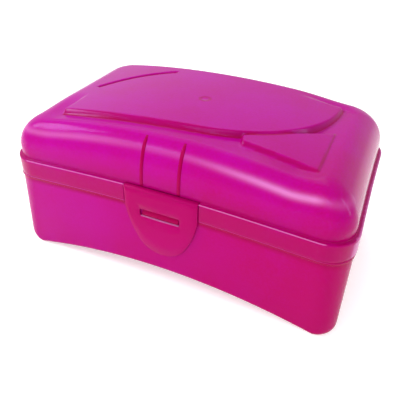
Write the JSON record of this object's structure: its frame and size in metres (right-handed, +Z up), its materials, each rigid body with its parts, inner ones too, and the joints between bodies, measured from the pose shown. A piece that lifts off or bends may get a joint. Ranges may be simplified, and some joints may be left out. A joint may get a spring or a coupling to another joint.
{
  "type": "sewing box with trays",
  "caption": "Arched translucent plastic sewing box: deep tub on two end feet, domed hinged lid with a skirt, a flap latch on the front and lift-out compartment trays inside",
  "frame": {"origin": "middle of the footprint, on the surface the box stands on", "axes": "+X along the length to the right, +Y from the latch to the hinge, +Z up"},
  "size_m": [0.21, 0.1277, 0.1004],
  "materials": {
    "tub_plastic": "translucent magenta, softly frosted",
    "lid_plastic": "translucent magenta, glossy outside",
    "latch_plastic": "translucent magenta, glossy",
    "tray_plastic": "translucent magenta, satin"
  },
  "bodies": {
    "tub": {"tub": "tub_plastic"},
    "lid": {"lid": "lid_plastic"},
    "latch": {"latch": "latch_plastic"},
    "left_tray": {"left_tray": "tray_plastic"},
    "right_tray": {"right_tray": "tray_plastic"}
  },
  "joints": [
    {"name": "lid_hinge", "type": "hinge", "parent": "tub", "child": "lid", "pos_m": [0, 0.06125, 0.054], "axis": [-1, 0, 0], "range_deg": [0, 110]},
    {"name": "latch_hinge", "type": "hinge", "parent": "lid", "child": "latch", "pos_m": [0, -0.06095, 0.0669], "axis": [-1, 0, 0], "range_deg": [0, 100]},
    {"name": "left_tray_lift", "type": "slide", "parent": "tub", "child": "left_tray", "axis": [0, 0, 1], "range_m": [0, 0.016]},
    {"name": "right_tray_lift", "type": "slide", "parent": "tub", "child": "right_tray", "axis": [0, 0, 1], "range_m": [0, 0.016]}
  ]
}
